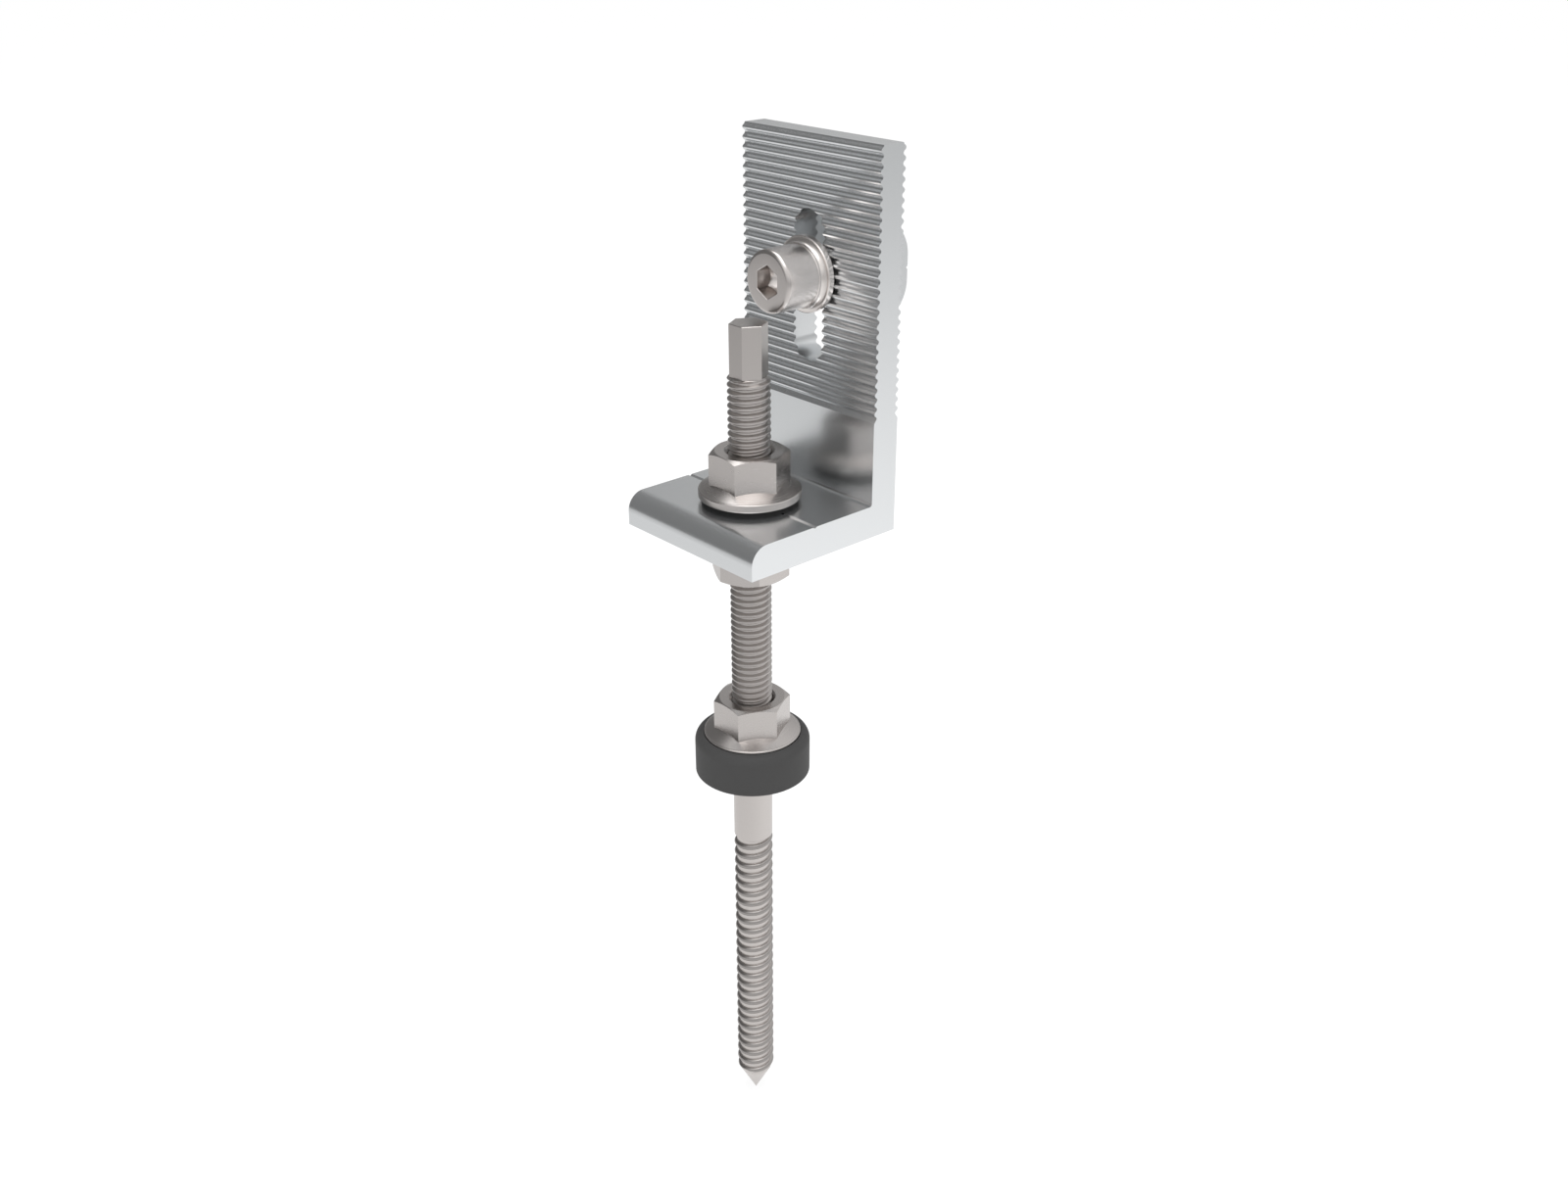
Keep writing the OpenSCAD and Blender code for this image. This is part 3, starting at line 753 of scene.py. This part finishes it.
def floor_paper(level):
    """White paper that the lights shade, mixed with a glow of its own. Glossy rays see the glow
    fade with distance, the camera sees it even."""
    mat, tree, glow = emitter("studio_floor_paper")
    paper = tree.nodes.new("ShaderNodeBsdfDiffuse")
    paper.inputs["Color"].default_value = (0.82, 0.82, 0.82, 1)
    coord = tree.nodes.new("ShaderNodeTexCoord")
    reach = tree.nodes.new("ShaderNodeVectorMath")
    reach.operation = "DISTANCE"
    tree.links.new(coord.outputs["Object"], reach.inputs[0])
    reach.inputs[1].default_value = (*FLOOR_MIDDLE, level)
    share = math_node(tree, "DIVIDE", reach.outputs["Value"], FLOOR_REACH)
    fall = math_node(tree, "ADD", math_node(tree, "POWER", share, FLOOR_FALL), 1.0)
    fall = math_node(tree, "DIVIDE", FLOOR_GLOW, fall)
    path = tree.nodes.new("ShaderNodeLightPath")
    seen = tree.nodes.new("ShaderNodeMix")
    tree.links.new(path.outputs["Is Camera Ray"], seen.inputs[0])
    tree.links.new(fall, seen.inputs[2])
    seen.inputs[3].default_value = FLOOR_SEEN
    tree.links.new(seen.outputs[0], glow.inputs["Strength"])
    mix = tree.nodes.new("ShaderNodeMixShader")
    tree.links.new(math_node(tree, "MULTIPLY", seen_mask(tree), FLOOR_SHARE), mix.inputs[0])
    tree.links.new(paper.outputs[0], mix.inputs[1])
    tree.links.new(glow.outputs[0], mix.inputs[2])
    tree.links.new(mix.outputs[0], tree.nodes["Material Output"].inputs[0])
    return mat


def make_floor(half):
    """The square floor just under the part."""
    level = CAD_BOX[0][2] - FLOOR_GAP
    mesh = bpy.data.meshes.new("studio_floor")
    corners = [(-half, -half), (half, -half), (half, half), (-half, half)]
    mesh.from_pydata([(*corner, level) for corner in corners], [], [(0, 1, 2, 3)])
    floor = bpy.data.objects.new("studio_floor", mesh)
    bpy.context.scene.collection.objects.link(floor)
    mesh.materials.append(floor_paper(level))


def make_tent():
    """A dome of glowing cloth that only reflections see. Each point carries its brightness."""
    u, v = np.meshgrid(np.linspace(0, 2 * np.pi, TENT_COLUMNS + 1),
                       np.linspace(TENT_LOWEST, np.pi / 2, TENT_ROWS + 1), indexing="ij")
    x, y, z = np.cos(v) * np.cos(u), np.cos(v) * np.sin(u), np.sin(v)
    points = np.stack([x, y, z], -1).reshape(-1, 3) * TENT_RADIUS
    i, j = np.meshgrid(np.arange(TENT_COLUMNS), np.arange(TENT_ROWS), indexing="ij")
    faces = cells(i, j, lambda a, b: a * (TENT_ROWS + 1) + b)
    dome = bpy.data.meshes.new("light_tent")
    dome.from_pydata(points.tolist(), [], faces.tolist())
    mark = dome.attributes.new("glow", "FLOAT", "POINT")
    mark.data.foreach_set("value", tent_glow(x, y, z).ravel().astype(np.float32))
    tent = bpy.data.objects.new("light_tent", dome)
    bpy.context.scene.collection.objects.link(tent)
    tent.visible_camera = False
    tent.visible_diffuse = False
    tent.visible_shadow = False
    cloth, tree, glow = emitter("light_tent_cloth")
    value = tree.nodes.new("ShaderNodeAttribute")
    value.attribute_name = "glow"
    tree.links.new(value.outputs["Fac"], glow.inputs["Strength"])
    tree.links.new(glow.outputs[0], tree.nodes["Material Output"].inputs[0])
    dome.materials.append(cloth)


def make_world(fill):
    """A white world: full strength where it is seen, and the fill on diffuse surfaces."""
    world = bpy.data.worlds.new("studio_world")
    bpy.context.scene.world = world
    world.use_nodes = True
    tree = world.node_tree
    back = tree.nodes["Background"]
    back.inputs["Color"].default_value = (1, 1, 1, 1)
    seen = math_node(tree, "MULTIPLY", seen_mask(tree), 1.0 - fill)
    tree.links.new(math_node(tree, "ADD", seen, fill), back.inputs["Strength"])


def make_camera(s):
    """The camera of the photograph, from the studio's values."""
    data = bpy.data.cameras.new("photo_camera")
    data.lens = s.lens
    data.sensor_width = 36.0
    data.sensor_fit = "HORIZONTAL"
    data.clip_start = 0.01
    camera = bpy.data.objects.new("photo_camera", data)
    camera.location = s.camera
    camera.rotation_euler = Euler((math.pi / 2 - s.pitch, 0.0, s.turn), "XYZ")
    bpy.context.scene.collection.objects.link(camera)
    bpy.context.scene.camera = camera


class LF_OT_stage(bpy.types.Operator):
    """Makes the floor, the light tent, the lights, the world and the camera"""
    bl_idname = "lf.stage"
    bl_label = "Studio"

    def execute(self, context):
        """White floor and world, a light tent seen only in reflections, and two soft lights."""
        s = context.scene.lf_studio
        make_floor(s.floor)
        make_tent()
        area_light("top_light", (0.10, -0.06, 1.1), (0, 0, 0.04), 0.55, s.top_light)
        area_light("side_light", (0.33, -0.30, 1.0), (0, 0, 0.03), 0.4, s.side_light)
        make_world(s.fill)
        make_camera(s)
        context.scene.view_settings.view_transform = "Standard"
        return {"FINISHED"}


class LF_PT_panel(bpy.types.Panel):
    """Lists the pieces, their sizes and the studio"""
    bl_idname = "LF_PT_panel"
    bl_label = "Solar L bracket"
    bl_space_type = "VIEW_3D"
    bl_region_type = "UI"
    bl_category = "L bracket"

    def draw(self, context):
        """Buttons first, then each group of values."""
        for kind in OPERATORS:
            self.layout.operator(kind.bl_idname)
        scene = context.scene
        for group in (scene.lf_bolt, scene.lf_screw, scene.lf_finishes, scene.lf_studio):
            box = self.layout.box()
            for key in group.__annotations__:
                box.prop(group, key)


OPERATORS = (LF_OT_hanger_bolt, LF_OT_cap_screw, LF_OT_aluminium, LF_OT_nuts, LF_OT_rubber,
             LF_OT_stage)
CLASSES = (HangerBoltSizes, CapScrewSizes, Finishes, Studio) + OPERATORS + (LF_PT_panel,)


def register():
    """Registers the classes and hangs the value groups on the scene."""
    for kind in CLASSES:
        bpy.utils.register_class(kind)
    bpy.types.Scene.lf_bolt = PointerProperty(type=HangerBoltSizes)
    bpy.types.Scene.lf_screw = PointerProperty(type=CapScrewSizes)
    bpy.types.Scene.lf_finishes = PointerProperty(type=Finishes)
    bpy.types.Scene.lf_studio = PointerProperty(type=Studio)


def unregister():
    """Takes the value groups and the classes away again."""
    del bpy.types.Scene.lf_bolt, bpy.types.Scene.lf_screw
    del bpy.types.Scene.lf_finishes, bpy.types.Scene.lf_studio
    for kind in reversed(CLASSES):
        bpy.utils.unregister_class(kind)


def main():
    """Makes every piece."""
    register()
    bpy.ops.lf.stage()
    bpy.ops.lf.hanger_bolt()
    bpy.ops.lf.cap_screw()
    bpy.ops.lf.aluminium()
    bpy.ops.lf.nuts()
    bpy.ops.lf.rubber()
    bpy.context.view_layer.update()


if __name__ == "__main__":
    main()
